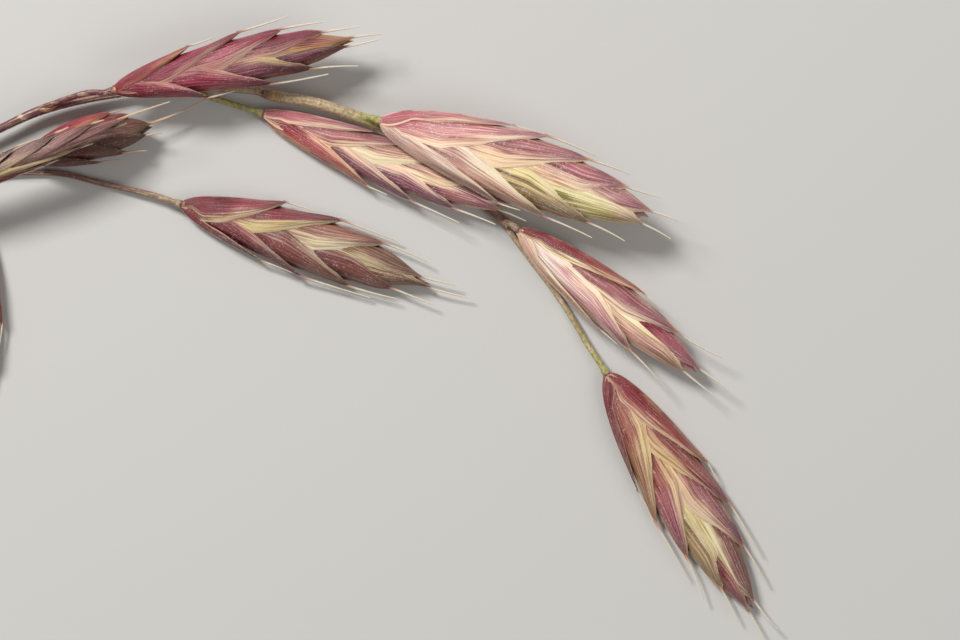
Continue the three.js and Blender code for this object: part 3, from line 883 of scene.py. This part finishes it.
class BractFinish(Finish):
    """Papery bract. Each step takes the colour so far and gives back the next."""

    def __init__(self):
        super().__init__("bract_papery")
        self.across, self.along, self.draw = self.at("across"), self.at("along"), self.at("draw")
        self.offset = self.times(self.draw, 40.0)
        self.streaks = self.strands(13.0, 3.0, 4.0)
        self.lines = self.strands(34.0, 4.0, 2.0)
        self.patches = self.strands(2.4, 5.0, 3.0)
        self.grain = self.strands(40.0, 130.0, 2.0)
        turns = self.times(self.across, NERVES * 2 * math.pi / NERVED_SHARE)
        self.ridge = self.plus(self.times(self.work("COSINE", turns), 0.5), 0.5)

    def strands(self, across_scale, along_scale, detail):
        """A cloud drawn out over the bract, and different on each."""
        across = self.times(self.across, across_scale)
        along = self.times(self.along, along_scale)
        return self.cloud(self.vector(across, along, self.offset), detail)

    def nerved(self, flank):
        """Light lines on the nerves, more of them towards the tip, and dark lines and streaks between."""
        light = self.times(self.work("POWER", self.ridge, 2.0), self.ease(self.lines, 0.42, 0.58))
        toward_tip = self.plus(self.times(self.ease(self.along, 0.3, 0.8), 0.35), 0.25)
        flank = self.mix(self.times(light, toward_tip), flank, self.tint(flank, 2.1, 0.72))
        thin = self.times(self.ease(self.lines, 0.54, 0.36), 0.55)
        wide = self.times(self.ease(self.streaks, 0.52, 0.34), 0.5)
        return self.mix(self.plus(thin, wide, clamp=True), flank, self.tint(flank, 0.42, 1.15))

    def tucked_and_shaded(self, flank):
        """Deeper and more saturated where the next bract out lies over it: partly the flank's own darker
        colour near its covered root, and partly painted shade under the covering margin.
        """
        deep_and_shaded = self.ease(self.plus(self.at("clear"), self.around(self.streaks, 1.0)), 0.6, -0.1)
        return self.mix(self.times(deep_and_shaded, 0.7), flank, self.tint(flank, 0.45, 1.3))

    def keeled(self, flank, keel):
        """The keel's colour, which runs in unevenly and fails in patches."""
        reach = self.at("keel_in")
        edge = self.plus(self.across, self.around(self.streaks, 0.35))
        band = self.times(self.ease(edge, reach, self.times(reach, 0.2)), self.ease(self.patches, 0.36, 0.56))
        return self.mix(self.times(band, 0.75), flank, keel)

    def margined(self, flank, margin):
        """A pale margin, widest along the middle of the bract, that runs into the flank in streaks."""
        ragged = self.plus(self.around(self.streaks, 0.6), self.around(self.lines, 0.5))
        middle = self.times(self.ease(self.along, 0.2, 0.55), self.ease(self.along, 1.02, 0.7))
        fullness = self.plus(self.times(middle, 0.7), 0.3)
        reach = self.plus(self.times(fullness, self.at("margin_in")), self.around(self.patches, 0.35))
        band = self.ease(self.plus(self.plus(self.across, ragged), reach), 0.72, 1.16)
        streaked = self.mix(self.times(self.ease(self.streaks, 0.56, 0.36), 0.5), margin, flank)
        colour = self.mix(band, flank, streaked)
        rim = self.ease(self.across, 0.955, 1.0)
        return self.mix(self.times(rim, 0.4), colour, self.tint(margin, 0.9, 0.8))

    def tipped(self, colour, keel):
        """The keel's colour again, where all nerves meet at the tip."""
        tip = self.ease(self.plus(self.along, self.around(self.streaks, 0.2)), 0.92, 1.03)
        return self.mix(self.times(tip, 0.5), colour, keel)

    def downy(self, colour):
        """Fine down in dashes on the nerves, and a haze of it in patches."""
        frost = self.at("frost")
        patchy = self.plus(self.times(self.ease(self.patches, 0.4, 0.6), 0.6), 0.4)
        dash = self.ease(self.strands(26.0, 62.0, 1.0), 0.6, 0.7)
        dash = self.times(dash, self.plus(self.times(self.ridge, 0.6), 0.4))
        colour = self.mix(self.times(self.times(dash, patchy), frost), colour, paint("ecdcd4"))
        haze = self.times(self.ease(self.grain, 0.48, 0.66), self.ease(self.patches, 0.42, 0.58))
        return self.mix(self.times(haze, self.times(frost, 0.5)), colour, paint("ccb4ac"))


def bract_finish():
    """Papery bract: nerved and downy flanks, a pale margin that runs into them in streaks, and a keel."""
    finish = BractFinish()
    flank, margin, keel = [finish.at(layer, "Color") for layer in ("flank", "margin", "keel")]
    # Painted shade is laid on each flank next to the margin of the bract that lies over it.
    colour = finish.tucked_and_shaded(finish.nerved(flank))
    colour = finish.margined(finish.keeled(colour, keel), margin)
    colour = finish.downy(finish.tipped(colour, keel))
    colour = finish.tint(colour, finish.plus(finish.times(finish.draw, 0.2), 0.9), 1.0)
    finish.set("Base Color", colour)
    finish.set("Roughness", finish.plus(finish.times(finish.streaks, 0.3), 0.25))
    finish.set("Specular IOR Level", 0.5)
    finish.set("Subsurface Weight", 0.05)
    finish.set("Subsurface Scale", 0.0004)
    finish.bump(finish.plus(finish.times(finish.lines, 0.8), finish.times(finish.grain, 0.6)), 1.0, 0.00008)
    return finish.material


def awn_finish():
    """A pale bristle, warmer where it leaves its lemma. Where its tone is 1 it stays warm to its end."""
    finish = Finish("awn_straw")
    along, draw = finish.at("along"), finish.at("draw")
    root = finish.mix(draw, paint("946468"), paint("c08c60"))
    pale = finish.times(finish.ease(along, 0.0, 0.3), finish.work("SUBTRACT", 1.0, finish.at("tone")))
    colour = finish.mix(pale, root, paint("d8ccb8"))
    grain = finish.cloud(finish.vector(finish.times(along, 30.0), draw, 0.0))
    colour = finish.mix(finish.times(finish.ease(grain, 0.5, 0.7), 0.3), colour, paint("a08878"))
    finish.set("Base Color", colour)
    finish.set("Roughness", 0.4)
    return finish.material


def hair_finish():
    """Hairs and teeth: nearly white, a little clear."""
    finish = Finish("hair_pale")
    place = finish.node("ShaderNodeTexCoord", {}, "Object")
    shade = finish.cloud(place, scale=900.0)
    finish.set("Base Color", finish.mix(shade, paint("dccabc"), paint("b8a296")))
    finish.set("Roughness", 0.35)
    return finish.material


def stem_finish():
    """Grass stem: purple-brown to tan to yellow-green by its tone, and pale or orange at its joints."""
    finish = Finish("stem_satin")
    place = finish.node("ShaderNodeTexCoord", {}, "Object")
    across, along, draw = finish.at("across"), finish.at("along"), finish.at("draw")
    tone = finish.at("tone")
    streaks = finish.cloud(finish.vector(finish.times(across, 14.0), finish.times(along, 16.0), draw), 4.0)
    blots = finish.cloud(place, 3.0, scale=800.0)
    fine = finish.cloud(place, 2.0, scale=3000.0)
    wander = finish.plus(tone, finish.around(streaks, 0.35))
    colour = finish.mix(finish.ease(wander, 0.1, 0.5), paint("6a3440"), paint("b0997a"))
    colour = finish.mix(finish.ease(wander, 0.6, 1.0), colour, paint("a4a450"))
    colour = finish.mix(finish.ease(wander, 0.0, -0.5), colour, paint("c89c70"))
    colour = finish.mix(finish.ease(wander, -0.7, -1.1), colour, paint("b46a34"))
    pale = finish.times(finish.ease(streaks, 0.5, 0.66), 0.6)
    colour = finish.mix(pale, colour, paint("c8b894"))
    colour = finish.mix(finish.times(finish.ease(blots, 0.6, 0.68), 0.7), colour, paint("d2b8a0"))
    colour = finish.mix(finish.times(finish.ease(fine, 0.55, 0.4), 0.4), colour, paint("54402e"))
    finish.set("Base Color", colour)
    finish.set("Roughness", 0.42)
    finish.set("Specular IOR Level", 0.4)
    finish.bump(finish.plus(streaks, fine), 0.6, 0.00008)
    return finish.material


def make_plant():
    bract, awn, hair = bract_finish(), awn_finish(), hair_finish()
    for spec in SPIKELETS:
        make_spikelet(spec, [bract, awn, hair])
    make_stems([stem_finish(), hair])


def make_camera():
    """Straight above the middle of the view, so that 960 pixels span 96 mm."""
    data = bpy.data.cameras.new("camera")
    data.lens = CAMERA_LENS
    data.sensor_width = SENSOR_WIDTH
    data.clip_start = NEAREST_SEEN
    camera = bpy.data.objects.new("camera", data)
    rise = VIEW_WIDTH * CAMERA_LENS / SENSOR_WIDTH
    camera.location = Vector((-FOOT[0], -FOOT[1], FOCUS_HEIGHT + rise)) * MM
    bpy.context.scene.collection.objects.link(camera)
    bpy.context.scene.camera = camera


def make_floor():
    making = bmesh.new()
    bmesh.ops.create_grid(making, x_segments=1, y_segments=1, size=FLOOR_HALF)
    mesh = bpy.data.meshes.new("floor")
    making.to_mesh(mesh)
    making.free()
    floor = bpy.data.objects.new("floor", mesh)
    finish = Finish("floor_pale")
    finish.set("Base Color", paint(FLOOR_COLOUR))
    finish.set("Roughness", 0.9)
    mesh.materials.append(finish.material)
    bpy.context.scene.collection.objects.link(floor)


def make_light(name, place, size, power):
    data = bpy.data.lights.new(name, "AREA")
    data.shape = "DISK"
    data.size = size
    data.energy = power
    light = bpy.data.objects.new(name, data)
    light.location = place
    light.rotation_euler = (-Vector(place)).to_track_quat("-Z", "Y").to_euler()
    bpy.context.scene.collection.objects.link(light)


def make_studio():
    make_floor()
    for light in LIGHTS:
        make_light(**light)
    world = bpy.data.worlds.new("studio")
    world.use_nodes = True
    sky = world.node_tree.nodes["Background"]
    sky.inputs["Color"].default_value = SKY_COLOUR
    sky.inputs["Strength"].default_value = SKY_POWER
    bpy.context.scene.world = world
    bpy.context.scene.view_settings.view_transform = "Standard"


make_camera()
make_plant()
make_studio()
